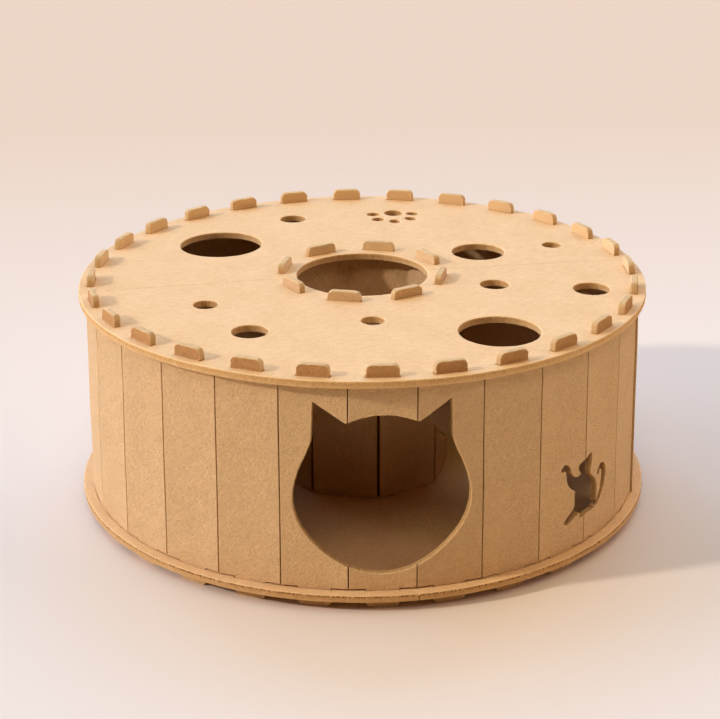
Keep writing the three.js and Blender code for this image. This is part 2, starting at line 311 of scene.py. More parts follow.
@dataclass
class Pattern:
    """A flat cutting plan: its outline, what is cut out of it, its fold lines and the panels between them."""

    outline: np.ndarray
    cutouts: list
    folds: list
    panel_of: callable
    guides: list = field(default_factory=list)

    def __post_init__(self):
        self.outline = divided(self.outline, EDGE_STEP)
        self.cutouts = [divided(hole, EDGE_STEP) for hole in self.cutouts]

    def holds(self, points):
        """Which points lie on the felt."""
        kept = inside(points, self.outline)
        for hole in self.cutouts:
            kept &= ~inside(points, hole)
        return kept

    def _clear(self, candidates, points, room):
        """Those candidates that lie on the felt and have room round them."""
        tree = KDTree(len(points))
        for i, (x, y) in enumerate(points):
            tree.insert((x, y, 0), i)
        tree.balance()
        candidates = candidates[self.holds(candidates)]
        return [p for p in candidates if tree.find((*p, 0))[2] > room]

    def _lines(self):
        """Points and edges of the outline, the cut-outs and the fold lines."""
        points, edges = [], []
        for loop in [self.outline, *self.cutouts]:
            base = len(points)
            points.extend(loop)
            edges.extend((base + i, base + (i + 1) % len(loop)) for i in range(len(loop)))
        for start, end in self.folds:
            count = ceil(hypot(*(end - start)) / FOLD_STEP)
            base = len(points)
            points.extend(start + (end - start) * i / count for i in range(count + 1))
            edges.extend((base + i, base + i + 1) for i in range(count))
        return points, edges

    def _grid(self):
        """Corners of even triangles over the whole plan."""
        low, high = self.outline.min(0), self.outline.max(0)
        columns = np.arange(low[0], high[0], FACE_STEP)
        rows = np.arange(low[1], high[1], FACE_STEP * ROW_SHARE)
        grid = np.stack(np.meshgrid(columns, rows), -1)
        grid[1::2, :, 0] += FACE_STEP / 2
        return grid.reshape(-1, 2)

    def triangles(self):
        """Points, triangles that run anticlockwise, and the panel of each triangle."""
        points, edges = self._lines()
        points.extend(self._clear(np.vstack([np.zeros((0, 2)), *self.guides]), points, GUIDE_ROOM))
        points.extend(self._clear(self._grid(), points, EDGE_ROOM))
        made = delaunay_2d_cdt([Vector(p) for p in points], edges, [], 0, SAME_POINT, False)
        places = np.array([tuple(v) for v in made[0]])
        faces = np.array([f for f in made[2] if len(f) == 3])
        a, b, c = places[faces[:, 0]], places[faces[:, 1]], places[faces[:, 2]]
        area = (b[:, 0] - a[:, 0]) * (c[:, 1] - a[:, 1]) - (c[:, 0] - a[:, 0]) * (b[:, 1] - a[:, 1])
        faces[area < 0] = faces[area < 0][:, ::-1]
        middle = (a + b + c) / 3
        kept = self.holds(middle) & (abs(area) > NO_AREA)
        return places, faces[kept], self.panel_of(middle[kept])


def inset(before, after, size_before, size_after, straight=0.25, doubled=0.5, longest=2.2, tiny=1e-9):
    """The move that sets a corner in from the two edges beside it, each by its own size.

    Edges that run nearly straight on share one move, edges that double back have none, and a pointed corner
    moves by no more than the longest share of its sizes."""
    n1 = np.array([-before[1], before[0]]) / hypot(*before)
    n2 = np.array([-after[1], after[0]]) / hypot(*after)
    cross = n1[0] * n2[1] - n1[1] * n2[0]
    if abs(cross) < straight:
        middle = n1 + n2
        length = hypot(*middle)
        if length < doubled:
            return np.zeros((len(size_before), 2))
        return np.outer((size_before + size_after) / 2, middle / length)
    x = (size_before * n2[1] - size_after * n1[1]) / cross
    y = (size_after * n1[0] - size_before * n2[0]) / cross
    move = np.stack([x, y], -1)
    furthest = longest * np.maximum(abs(size_before), abs(size_after)).max() + tiny
    length = np.linalg.norm(move, axis=1)
    return move * np.minimum(1, furthest / np.maximum(length, tiny))[:, None]


def panel_borders(faces, panels):
    """The sides round each panel: start, end, panel, and whether the side is a fold to the next panel."""
    owner = {}
    for face, panel in zip(faces.tolist(), panels.tolist()):
        for i in range(3):
            owner[face[i], face[(i + 1) % 3]] = panel
    return [(a, b, panel, (b, a) in owner) for (a, b), panel in owner.items() if owner.get((b, a)) != panel]


class Sheet:
    """The points of a sheet of felt. A point of a fold belongs to two panels and stands between them."""

    def __init__(self, edge):
        self.edge = edge
        self.numbers = {}
        self.places = []
        self.marks = []
        self.corner = {}

    def add(self, key, panel, flat, row, rim=0, side=0, slit=0):
        """The number of a point, which is new unless its key was there before."""
        if key not in self.numbers:
            self.numbers[key] = len(self.places)
            self.places.append([])
            self.marks.append((rim, side, slit))
        self.places[self.numbers[key]].append((panel, *flat, self.edge.depths[row]))
        return self.numbers[key]

    def add_borders(self, points, borders, fray):
        """Adds a row of points from face to back at each corner of the borders."""
        edge = self.edge
        entering = {(b, panel): (a, folded) for a, b, panel, folded in borders}
        leaving = {(a, panel): (b, folded) for a, b, panel, folded in borders}
        folding = {v for a, b, panel, folded in borders if folded for v in (a, b)}
        sizes = {False: np.array(edge.cut, float), True: np.array(edge.fold, float)}
        for (b, panel), (a, folded_before) in entering.items():
            c, folded_after = leaving[b, panel]
            waver = 0 if folded_before or folded_after else fray[b]
            before, after = points[b] - points[a], points[c] - points[b]
            move = inset(before, after, sizes[folded_before] + waver, sizes[folded_after] + waver)
            cut_here = not (folded_before and folded_after)
            for row in range(len(edge.depths)):
                key = (b, -1, row) if b in folding and edge.joined[row] else (b, panel, row)
                rim = FLUFF_HIGHLIGHT_SHARES[row] if cut_here else FOLD_FLUFF_HIGHLIGHT * FLUFF_HIGHLIGHT_SHARES[row]
                side = SIDE_SHARES[row]
                slit = 0 if cut_here else side
                at = points[b] + move[row]
                self.corner[b, panel, row] = self.add(key, panel, at, row, rim, side, slit)

    def faces(self, points, faces, panels):
        """The face and the back, as lists of point numbers."""

        def number(vertex, panel, row):
            if (vertex, panel, row) in self.corner:
                return self.corner[vertex, panel, row]
            return self.add((vertex, panel, row), panel, points[vertex], row)

        back = len(self.edge.depths) - 1
        polygons = []
        for (a, b, c), panel in zip(faces.tolist(), panels.tolist()):
            polygons.append([number(v, panel, 0) for v in (a, b, c)])
            polygons.append([number(v, panel, back) for v in (c, b, a)])
        return polygons

    def sides(self, borders):
        """The cut sides and the sides of the slits, as lists of point numbers."""
        corner, joined = self.corner, self.edge.joined
        polygons = []
        for a, b, panel, folded in borders:
            for row in range(len(joined) - 1):
                if folded and joined[row] and joined[row + 1]:
                    continue
                ring = [corner[a, panel, row], corner[a, panel, row + 1]]
                ring += [corner[b, panel, row + 1], corner[b, panel, row]]
                ring = [v for i, v in enumerate(ring) if v != ring[i - 1]]
                if len(ring) > 2:
                    polygons.append(ring)
        return polygons

    def stood(self, place):
        """Where each point stands, and where it lies in the flat sheet, both in metres."""
        entries = np.array([(i, *entry) for i, found in enumerate(self.places) for entry in found])
        target = entries[:, 0].astype(int)
        count = np.bincount(target)[:, None]
        standing = place(entries[:, 1].astype(int), entries[:, 2:4], entries[:, 4])
        for values in (standing, entries[:, 2:5]):
            total = np.zeros((len(self.places), 3))
            np.add.at(total, target, values)
            yield total / count * METRE


def felt_piece(title, pattern, edge, place, ragged, seed):
    """A solid sheet of felt from its flat pattern. place(panel, flat, depth) says where each point stands."""
    points, faces, panels = pattern.triangles()
    borders = panel_borders(faces, panels)
    fray = sum(ragged * unevenness(points, width, seed + i) for i, width in enumerate(RAGGED_WIDTHS))
    sheet = Sheet(edge)
    sheet.add_borders(points, borders, fray)
    polygons = sheet.faces(points, faces, panels) + sheet.sides(borders)
    solid, flat = sheet.stood(place)
    used = np.unique(np.concatenate([np.array(p) for p in polygons]))
    renumber = np.full(len(solid), -1)
    renumber[used] = np.arange(len(used))
    mesh = bpy.data.meshes.new(title)
    mesh.from_pydata(solid[used].tolist(), [], [[int(renumber[v]) for v in p] for p in polygons])
    mesh.attributes.new("flat", "FLOAT_VECTOR", "POINT").data.foreach_set("vector", flat[used].ravel())
    for name, values in zip(("rim", "side", "slit"), np.array(sheet.marks, float)[used].T):
        mesh.attributes.new(name, "FLOAT", "POINT").data.foreach_set("value", np.ascontiguousarray(values))
    mesh.shade_smooth()
    mesh.set_sharp_from_angle(angle=radians(SHARP_ANGLE))
    mesh.validate()
    piece = bpy.data.objects.new(title, mesh)
    bpy.context.scene.collection.objects.link(piece)
    return piece


def spread_at(height):
    """The outer wall is a little wider at its foot."""
    slope = (OUTER_APOTHEM_FOOT / OUTER_APOTHEM - 1) / (TOP_FACE - BOTTOM_FACE)
    return 1 + slope * (TOP_FACE - height)


def crown(x, y):
    """How far the top disc stands up in its middle."""
    return TOP_CROWN * np.clip(1 - (x * x + y * y) / TOP_RADIUS**2, 0, 1)


@dataclass
class Wall:
    """A folded strip of flat panels, each at its own angle round the middle of the house."""

    apothem: float
    panels: int
    first: float
    tab: float
    leans: bool
    seed: int
    spring: tuple = None

    def __post_init__(self):
        self.step = 2 * pi / self.panels
        self.half = (self.apothem - SLIT_DEPTH) * tan(self.step / 2)

    def middle(self, panel):
        """How far along the strip a panel has its middle."""
        return 2 * self.half * panel

    def panel_of(self, points):
        return np.round(points[:, 0] / (2 * self.half)).astype(int)

    def tab_points(self, panel, shoulder, edge, corner, steps=5):
        """A tab from its left shoulder to its right one."""
        up = 1 if edge > shoulder else -1
        side = self.tab / 2
        bend = np.linspace(0, pi / 2, steps + 1)
        x = side - corner + corner * np.sin(bend)
        y = edge - up * corner * (1 - np.cos(bend))
        right = np.vstack([np.stack([x, y], -1), [[side, shoulder]]])
        left = right[::-1] * [-1, 1]
        return np.vstack([left, right]) + [self.middle(panel), 0]

    def fold_line(self, panel):
        """The slit between a panel and the next one."""
        x = self.middle(panel) + self.half
        return np.array([x, SHOULDER_FOOT - FOLD_OVERRUN]), np.array([x, SHOULDER_TOP + FOLD_OVERRUN])

    def pattern(self, first, last, cutouts):
        """The cutting plan of a strip, from its first panel to its last."""
        left = self.middle(first) - self.half + STRIP_JOINT / 2
        right = self.middle(last) + self.half - STRIP_JOINT / 2
        numbers = range(first, last + 1)
        feet = [self.tab_points(n, SHOULDER_FOOT, 0, FOOT_CORNER) for n in numbers]
        crests = [self.tab_points(n, SHOULDER_TOP, TAB_TOP, TAB_CORNER)[::-1] for n in reversed(numbers)]
        right_end = [[right, SHOULDER_FOOT], [right, SHOULDER_TOP]]
        outline = np.vstack([[[left, SHOULDER_FOOT]], *feet, right_end, *crests, [[left, SHOULDER_TOP]]])
        return Pattern(outline, cutouts, [self.fold_line(n) for n in range(first, last)], self.panel_of)

    def place(self, panel, flat, depth):
        """Stands points of the flat strip up: round the middle, with a lean, a slight bow and uneven tabs."""
        along = flat[:, 0] - self.middle(panel)
        height = flat[:, 1]
        below_top = 1 - eased(height, TOP_UNDER - BOW_EASE, TOP_UNDER)
        between = eased(height, BOTTOM_FACE, BOTTOM_FACE + BOW_EASE) * below_top
        bow = WALL_BOW * between * unevenness(flat, WALL_BOW_WIDTH, self.seed)
        draw = np.random.default_rng(self.seed)
        tilt = draw.uniform(-TAB_TILT, TAB_TILT, TILTED_TABS)[panel % TILTED_TABS]
        above = np.clip((height - TOP_FACE) / (TAB_TOP - TOP_FACE), 0, 1)
        out = self.apothem - depth + bow + tilt * above**TAB_CURL + self.sprung(flat)
        angle = radians(self.first) + self.step * panel
        x = out * np.cos(angle) - along * np.sin(angle)
        y = out * np.sin(angle) + along * np.cos(angle)
        if self.leans:
            spread = spread_at(height)
            return np.stack([x * spread, y * spread, height], -1)
        lift = crown(x, y) * eased(height, BOTTOM_FACE, TOP_UNDER) * (1 - eased(height, TOP_UNDER, TAB_TOP))
        return np.stack([x, y, height + lift], -1)

    def sprung(self, flat):
        """How far the ends of a strip spring out from the wall between its last tabs and its joint."""
        if not self.spring:
            return 0
        first, last, far = self.spring
        left = flat[:, 0] - (self.middle(first) - self.half)
        right = self.middle(last) + self.half - flat[:, 0]
        held_from = self.half - self.tab / 2 + SPRING_PAST_TAB
        return far * (1 - eased(np.minimum(left, right), 0, held_from))

    def slots(self, spread):
        """The slots of a disc for this wall's tabs, at a height where the wall is spread that much."""
        along = self.tab / 2 * spread + SLOT_END
        outer = self.apothem * spread + SLOT_SIDE
        inner = self.apothem * spread - WALL_THICK - SLOT_SIDE
        box = np.array([[inner, -along], [outer, -along], [outer, along], [inner, along]])
        return [turned(box, self.first + n * 360 / self.panels) for n in range(self.panels)]


OUTER = Wall(OUTER_APOTHEM, OUTER_PANELS, ENTRANCE_ANGLE, TAB_WIDTH, leans=True, seed=3)
WELL = Wall(WELL_APOTHEM, WELL_PANELS, WELL_ANGLE, WELL_TAB_WIDTH, leans=False, seed=8)


def head_outline():
    """The entrance: a cat's head with two pointed ears."""
    right = np.vstack(
        [
            bezier((0, 17.5), (32, 17.5), (85, 48), (85, 94), steps=40),
            bezier((85, 94), (85, 122), (66, 144), (66, 160), steps=24),
            [[66, 160], [65, 194], [34, 173.5]],
            bezier((34, 173.5), (17, 181), (0, 181), steps=12)[1:],
        ]
    )
    left = right[1:][::-1] * [-1, 1]
    return np.vstack([right, [[0, 181]], left]) + [0, BOTTOM_FACE]


def figure_outlines():
    """A standing cat with one paw raised and its tail in a hook, as outlines that run into each other."""
    body = np.vstack(
        [
            bezier((-24, 13), (-25, 24), (-24, 36)),
            bezier((-24, 36), (-25, 44), (-21, 49), steps=8),
            bezier((-21, 49), (-17, 50), (-13, 54), steps=8),
            bezier((-13, 54), (-6, 56), (0, 52), steps=8),
            bezier((0, 52), (-1, 45), (5, 41), steps=8),
            bezier((5, 41), (16, 34), (15, 18), (12, 5)),
            bezier((12, 5), (-4, 6), (-13, 5), steps=8),
            [[-13, 5]],
        ]
    )
    head = np.vstack(
        [
            bezier((2.5, 68.5), (-7, 67), (-12, 64.5), steps=10),
            bezier((-12, 64.5), (-23, 60), (-18.5, 55), steps=10),
            bezier((-18.5, 55), (-16, 51), (-11, 49), steps=8),
            bezier((-11, 49), (-3, 47), (0, 51), steps=8),
            bezier((0, 51), (3.5, 58), (2.5, 68.5), steps=10),
        ]
    )
    arm = stroke([(-19, 41), (-32, 44), (-34, 57)], 16, 7)
    paw = stroke([(-34, 56), (-36, 66), (-42, 63.5)], 7, 6.5)
    foot = stroke([(-20, 14), (-26, 9), (-35, 4)], 11, 8)
    heel = stroke([(10, 7), (-4, 6), (-15.5, 4.5)], 7, 4)
    tail = stroke([(11, 6), (26, 14), (28.3, 36)], 5, 9)
    hook = stroke([(28.3, 35), (28.6, 47.5), (18.5, 48), (17, 40)], 9, 5)
    shapes = [body, head, arm, paw, foot, heel, tail, hook]
    return [shape + [FIGURE_ALONG, BOTTOM_FACE + FIGURE_HEIGHT] for shape in shapes]


def paw_holes():
    """The pad and the five toes of the paw print."""
    for x, y, wide, long, lean in PAW:
        yield ellipse(turned((x, y), PAW_TURN) + polar(*PAW_AT), wide, long, lean + PAW_TURN)


@dataclass
class Disc:
    """A round sheet with one fold across it: how high its face lies, and where its points stand."""

    face: float
    radius: float
    fold_angle: float
    crowned: bool
    seed: int

    def pattern(self, holes):
        """The cutting plan, with lines of points beside the fold for the crease to sink in."""
        ahead = polar(1, self.fold_angle)
        beside = polar(1, self.fold_angle + 90)
        fold = ((-self.radius - FOLD_OVERRUN) * ahead, (self.radius + FOLD_OVERRUN) * ahead)
        along = np.arange(-self.radius, self.radius, CREASE_STEP)[:, None] * ahead
        return Pattern(
            circle((0, 0), self.radius),
            holes,
            [fold],
            panel_of=lambda points: (points @ beside > 0).astype(int),
            guides=[along + beside * gap for gap in CREASE_GUIDES],
        )

    def place(self, panel, flat, depth):
        """Lays points of the flat sheet down, with a crease over the fold and a slight rise and fall."""
        off = abs(flat @ polar(1, self.fold_angle + 90))
        out = np.linalg.norm(flat, axis=1)
        notch = CREASE_DEEP * self.crowned + NOTCH_DEEP * eased(out, self.radius - NOTCH_LONG, self.radius)
        crease = notch * np.exp(-((off / CREASE_WIDE) ** 2)) * np.exp(-depth / CREASE_FADE)
        rise = DISC_WAVE * unevenness(flat, DISC_WAVE_WIDTH, self.seed)
        if self.crowned:
            rise = rise + crown(flat[:, 0], flat[:, 1])
        return np.stack([flat[:, 0], flat[:, 1], self.face - depth - crease + rise], -1)


class Formula:
    """A socket of a shader tree, with shader maths written as ordinary sums."""

    def __init__(self, shading, socket):
        self.shading = shading
        self.socket = socket

    def _maths(self, operation, *values, clamp=False):
        settings = {"operation": operation, "use_clamp": clamp}
        return self.shading.add("Math", settings, dict(enumerate(values)))

    def __add__(self, other):
        return self._maths("ADD", self, other)

    def __sub__(self, other):
        return self._maths("SUBTRACT", self, other)

    def __mul__(self, other):
        return self._maths("MULTIPLY", self, other)

    def __pow__(self, other):
        return self._maths("POWER", self, other)

    def __abs__(self):
        return self._maths("ABSOLUTE", self)

    def __rsub__(self, other):
        return self._maths("SUBTRACT", other, self)

    __radd__ = __add__
    __rmul__ = __mul__

    def clamped(self):
        """Held between nought and one."""
        return self._maths("ADD", self, 0.0, clamp=True)


class Shading:
    """One material and its nodes."""

    def __init__(self, name):
        self.material = bpy.data.materials.new(name)
        self.material.use_nodes = True
        self.tree = self.material.node_tree
        self.tree.nodes.clear()

    def add(self, kind, settings=None, sockets=None, output=0):
        """Adds a node: its settings first, then the values or links of its sockets."""
        node = self.tree.nodes.new("ShaderNode" + kind)
        for name, value in (settings or {}).items():
            setattr(node, name, value)
        for name, value in (sockets or {}).items():
            if isinstance(value, Formula):
                self.tree.links.new(value.socket, node.inputs[name])
            else:
                node.inputs[name].default_value = value
        return Formula(self, node.outputs[output]) if node.outputs else node

    def attribute(self, name, output="Fac"):
        return self.add("Attribute", {"attribute_name": name}, output=output)

    def part(self, vector, axis):
        return self.add("SeparateXYZ", {}, {"Vector": vector}, axis)

    def vector_maths(self, operation, sockets, output=0):
        return self.add("VectorMath", {"operation": operation}, sockets, output)

    def moved(self, vector, by, size):
        """A vector pushed about by a coloured noise of the given size in metres."""
        swirl = self.add("TexNoise", {}, {"Vector": vector, "Scale": 1 / size, "Detail": 1.0}, "Color")
        centred = self.vector_maths("SUBTRACT", {0: swirl, 1: (0.5, 0.5, 0.5)})
        scaled = self.vector_maths("SCALE", {0: centred, "Scale": 2 * by})
        return self.vector_maths("ADD", {0: vector, 1: scaled})

    def noise(self, vector, size, detail=2.0, roughness=0.5, stretch=(1, 1, 1), turn=0.0):
        """A grey noise from about -1 to 1, with marks of the given size in metres, drawn out and turned."""
        scale = tuple(1 / (size * s) for s in stretch)
        swung = self.add("VectorRotate", {"rotation_type": "Z_AXIS"}, {"Vector": vector, "Angle": turn})
        scaled = self.vector_maths("MULTIPLY", {0: swung, 1: scale})
        sockets = {"Vector": scaled, "Scale": 1.0, "Detail": detail, "Roughness": roughness}
        return self.add("TexNoise", {}, sockets) * 2 - 1

    def blend(self, factor, first, second, way="MIX"):
        """Two colours mixed, each one a socket or the three parts of a colour."""
        first, second = (tone if isinstance(tone, Formula) else (*tone, 1.0) for tone in (first, second))
        settings = {"data_type": "RGBA", "blend_type": way}
        return self.add("Mix", settings, {0: factor, 6: first, 7: second}, 2)

    def finish(self, **sockets):
        """The finished material, from the values and links of its shader's sockets."""
        sockets = {name.replace("_", " "): value for name, value in sockets.items()}
        shader = self.add("BsdfPrincipled", {}, sockets)
        self.add("OutputMaterial", {}, {"Surface": shader})
        return self.material


# Sizes in metres of what shows in needled felt up close
FIBRE_SIZE = 0.0015
GRAIN_SIZE = 0.0016
FLUFF_SIZE = 0.0013
STREAK_SIZE = 0.0042
CLOUD_SIZE = 0.05

# How far, in metres, fibres sway over a long stretch and tangle over a short one
SWAY = 0.004
SWAY_SIZE = 0.03
TANGLE = 0.0012
TANGLE_SIZE = 0.007

# Heights in metres that the bump gives to them
FIBRE_RELIEF = 0.00042
GRAIN_RELIEF = 0.00022
GRAIN_PRESSED = 0.0001
LAYER_RELIEF = 0.00012
FLUFF_RELIEF = 0.0002

# Bands of fibres: how far each is turned, and how wide its fibres are beside the others
FIBRE_BANDS = ((-0.7, 1.0), (-0.55, 0.8), (-0.9, 1.2), (0.6, 1.1))

# In metres: half of the painted shade line over the top disc's fold, the row of needle marks, and the depths
# over which painted shade darkens a slit
CREASE_SHADE_HALF = 0.0006
MARK_DEPTH = 0.0014
MARK_HALF = 0.0007
SLIT_SHADE_FROM = 0.001
SLIT_SHADE_OVER = 0.003


class Felt(Shading):
    """Needled felt board: fine crossed fibres pressed into its faces, and open, fluffy cut edges.

    Its streaks, from 0 to 1, say how far the faces are pressed smooth and drawn out."""

    def __init__(self, name, colours, streaks):
        super().__init__(name)
        self.colours = colours
        self.streaks = streaks
        self.flat = self.attribute("flat", "Vector")
        self.rim = self.attribute("rim")
        self.side = self.attribute("side")
        self.slit = self.attribute("slit")
        self.depth = self.part(self.flat, "Z")
        swayed = self.moved(self.flat, SWAY, SWAY_SIZE)
        self.pushed = self.moved(swayed, TANGLE, TANGLE_SIZE)
        first, *others = [self.fibre_band(turn, width) for turn, width in FIBRE_BANDS]
        self.fibres = sum(others, first) - 0.9
        self.grain = self.noise(self.flat, GRAIN_SIZE, roughness=0.7)
        self.cloudy = self.noise(self.flat, CLOUD_SIZE, 3.0, 0.55)
        self.layers = self.noise(self.flat, GRAIN_SIZE, roughness=0.7, stretch=(1.2, 1.2, 1.6))
        self.fluff = self.noise(self.flat, FLUFF_SIZE, roughness=0.6)

    def fibre_band(self, turn, width):
        """Fine light lines that run one way."""
        band = self.noise(self.pushed, FIBRE_SIZE * width, 1.0, stretch=(6, 1, 1), turn=turn)
        return (1 - abs(band)) ** 8

    def board(self):
        """Colour of the faces."""
        streaks = self.streaks
        streak = self.noise(self.pushed, STREAK_SIZE, 3.0, 0.65, stretch=(2.4, 1, 1), turn=-0.4)
        fibres = (0.6 - 0.5 * streaks) * self.fibres
        grain = (0.75 - 0.15 * streaks) * self.grain
        felted = fibres + grain + 0.3 * self.cloudy + 0.5 * streaks * streak
        # The tone rises as the streaks fall, so the walls' faces are painted lighter than the discs': painted
        # light on the walls.
        tone = (0.66 - 0.16 * streaks + felted).clamped()
        return self.blend(tone, self.colours.shade, self.colours.light)

    def cut_side(self):
        """Colour of the sides where the felt was cut."""
        tone = (0.5 + 1.1 * self.layers).clamped()
        return self.blend(tone, self.colours.cut_shade, self.colours.cut_light)

    def on_tabs(self):
        """One on the tabs that stand above the top disc, nought elsewhere."""
        return ((self.part(self.flat, "Y") - TOP_FACE * METRE) * MILLI).clamped()

    def painted_light_inside(self, board, tab):
        """Tabs are painted paler on their inner faces: painted light."""
        pale = tab * (self.depth * MILLI - (WALL_THICK - 1)).clamped()
        return self.blend(pale * 0.8, board, self.colours.fluff)

    def painted_light_cut(self, cut, tab):
        """Tabs are painted paler on their cut sides: a painted highlight."""
        return self.blend(0.5 * tab, cut, self.colours.fluff)

    def painted_shade_outside(self, board, tab):
        """Tabs are painted darker on their outer faces: painted shade."""
        outside = tab * (1 - self.depth * MILLI).clamped()
        return self.blend(outside, board, self.blend(1.0, board, self.colours.tabs, "MULTIPLY"))

    def painted_crease_shade(self, board):
        """A faint line of painted shade where the top disc folds."""
        across = (*polar(1, TOP_FOLD_ANGLE + 90), 0)
        off = self.vector_maths("DOT_PRODUCT", {0: self.flat, 1: across}, "Value")
        line = (1.6 - abs(off) * (1 / CREASE_SHADE_HALF)).clamped()
        return self.blend(line * (0.4 + 0.6 * self.cloudy), board, self.colours.cut_shade)

    def edged(self, board, cut):
        """Faces and cut sides together, with loose fluff where they meet, painted lighter: partly the fluff's
        own colour and partly a painted highlight.
        """
        fluff_and_highlight = (self.rim * (0.75 + 0.8 * self.fluff)).clamped()
        return self.blend(fluff_and_highlight * 0.85, self.blend(self.side, board, cut), self.colours.fluff)

    def needle_marked(self, whole):
        """A row of dark upright marks round the cut side."""
        row = (1.7 - abs(self.depth - MARK_DEPTH) * (1 / MARK_HALF)).clamped()
        upright = self.noise(self.flat, FLUFF_SIZE, 1.0, stretch=(1, 1, 5))
        teeth = (0.5 + 5 * upright).clamped()
        return self.blend(self.side * row * teeth * 0.9, whole, self.colours.deep)

    def made(self, whole):
        """The material, with painted shade deep inside its slits and its fibres raised."""
        # Painted shade: a slit's sides darken with depth towards the deep colour.
        deep = self.slit * ((self.depth - SLIT_SHADE_FROM) * (1 / SLIT_SHADE_OVER)).clamped()
        pressed = 1 - 0.87 * self.streaks
        height = FIBRE_RELIEF * self.fibres * pressed
        height = height + (GRAIN_RELIEF - GRAIN_PRESSED * self.streaks) * self.grain
        height = height + self.side * LAYER_RELIEF * self.layers + self.rim * FLUFF_RELIEF * self.fluff
        return self.finish(
            Base_Color=self.blend(deep, whole, self.colours.deep),
            Roughness=0.92,
            Normal=self.add("Bump", {}, {"Strength": 0.9, "Distance": 1.0, "Height": height}),
            Specular_IOR_Level=0.08,
            Sheen_Weight=0.05,
            Sheen_Roughness=0.45,
            Sheen_Tint=(1.0, 0.8, 0.55, 1.0),
        )


def bottom_felt(name, colours):
    """Lightly streaked felt with needle marks in its cut side."""
    felt = Felt(name, colours, streaks=0.6)
    return felt.made(felt.needle_marked(felt.edged(felt.board(), felt.cut_side())))


def top_felt(name, colours):
    """Streaked felt with painted shade along its fold line."""
    felt = Felt(name, colours, streaks=1.0)
    return felt.made(felt.edged(felt.painted_crease_shade(felt.board()), felt.cut_side()))


def outer_wall_felt(name, colours):
    """Plain felt, with tabs painted darker outside, painted shade, and paler inside, painted light."""
    felt = Felt(name, colours, streaks=0.0)
    tab = felt.on_tabs()
    board = felt.painted_shade_outside(felt.painted_light_inside(felt.board(), tab), tab)
    return felt.made(felt.edged(board, felt.painted_light_cut(felt.cut_side(), tab)))


def inner_wall_felt(name, colours):
    """Plain felt, with tabs painted paler inside: painted light."""
    felt = Felt(name, colours, streaks=0.0)
    tab = felt.on_tabs()
    return felt.made(felt.edged(felt.painted_light_inside(felt.board(), tab), felt.painted_light_cut(felt.cut_side(), tab)))


def colour_setting(name, description, default):
    """A colour that a user can change."""
    return FloatVectorProperty(name=name, description=description, subtype="COLOR", default=default)


class FeltColours(PropertyGroup):
    """Colours of the felt"""

    light: colour_setting("Light felt", "Lighter tone of the felt's faces", (0.80, 0.485, 0.205))
    shade: colour_setting("Shaded felt", "Darker tone of the felt's faces", (0.61, 0.325, 0.105))
    cut_light: colour_setting(
        "Cut side",
        "Lighter tone of the sides where the felt was cut",
        (0.72, 0.40, 0.14),
    )
    cut_shade: colour_setting("Cut side, dark", "Darker tone of the cut sides", (0.46, 0.21, 0.05))
    # The fluff colour is partly the loose fluff's own and partly a painted highlight; it also paints light on
    # the tabs.
    fluff: colour_setting("Fluff", "Colour of the loose fluff along cut edges", (0.95, 0.61, 0.25))
    # The deep colour is painted shade inside the slits, and the own colour of the needle marks.
    deep: colour_setting(
        "Slits and needle marks",
        "Colour deep in the slits, and of the needle marks in the cut side of the bottom disc",
        (0.20, 0.045, 0.003),
    )
    # Painted shade: how much darker the outer faces of the tabs are painted.
    tabs: colour_setting("Tabs, outside", "How dark the outer faces of the tabs are", (0.78, 0.63, 0.47))


class FeltSizes(PropertyGroup):
    """Sizes of the felt's edges"""

    round_off: FloatProperty(
        name="Rounding",
        description="How far the cut edges are rounded off",
        default=0.0007,
        unit="LENGTH",
    )
    ragged: FloatProperty(
        name="Raggedness",
        description="How far a cut edge wavers",
        default=0.00018,
        unit="LENGTH",
    )


class StageSettings(PropertyGroup):
    """Floor and lights"""

    floor: colour_setting("Floor", "Colour of the floor", (0.71, 0.57, 0.40))
    # Painted shade on the floor a good way behind the house.
    far_floor_shade: colour_setting(
        "Floor, far",
        "Colour of the floor a good way behind the house",
        (0.64, 0.45, 0.27),
    )
    lamps: FloatProperty(name="Lamps", description="How bright the lamps are", default=1.0)
    fill: FloatProperty(name="Fill", description="Strength of the soft light all round", default=0.01)


def finished(piece, node, material):
    """Gives a piece its material and its place in the frame."""
    piece.data.materials.append(material)
    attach(piece, "root")
    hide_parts(node)


def laid(title, sheet, holes, sizes, seed):
    """Cuts a disc and lays it on its wall."""
    edge = disc_edge(sizes.round_off * MILLI)
    return felt_piece(title, sheet.pattern(holes), edge, sheet.place, sizes.ragged * MILLI, seed)


def folded(title, wall, first, count, cutouts, sizes, seed):
    """Cuts a strip of panels and folds it up."""
    edge = wall_edge(sizes.round_off * MILLI, wall.step)
    pattern = wall.pattern(first, first + count - 1, cutouts)
    return felt_piece(title, pattern, edge, wall.place, sizes.ragged * MILLI, seed)


class TUNNEL_OT_outer_wall(Operator):
    """Stands up the two strips of the outer wall"""

    bl_idname = "tunnel_house.outer_wall"
    bl_label = "Outer wall"

    def execute(self, context):
        strips = (
            ("front", FRONT_FIRST, [head_outline(), *figure_outlines()], FRONT_AREA, 33),
            ("back", FRONT_FIRST + STRIP_PANELS, [], BACK_AREA, 47),
        )
        for side, first, cutouts, area, seed in strips:
            OUTER.spring = (first, first + STRIP_PANELS - 1, END_SPRING) if side == "back" else None
            title = f"felt_outer_wall_{side}"
            piece = folded(title, OUTER, first, STRIP_PANELS, cutouts, context.scene.tunnel_sizes, seed)
            material = outer_wall_felt(f"wall_felt_{side}", context.scene.tunnel_colours)
            finished(piece, f"outer_wall_{side}", material)
        return {"FINISHED"}


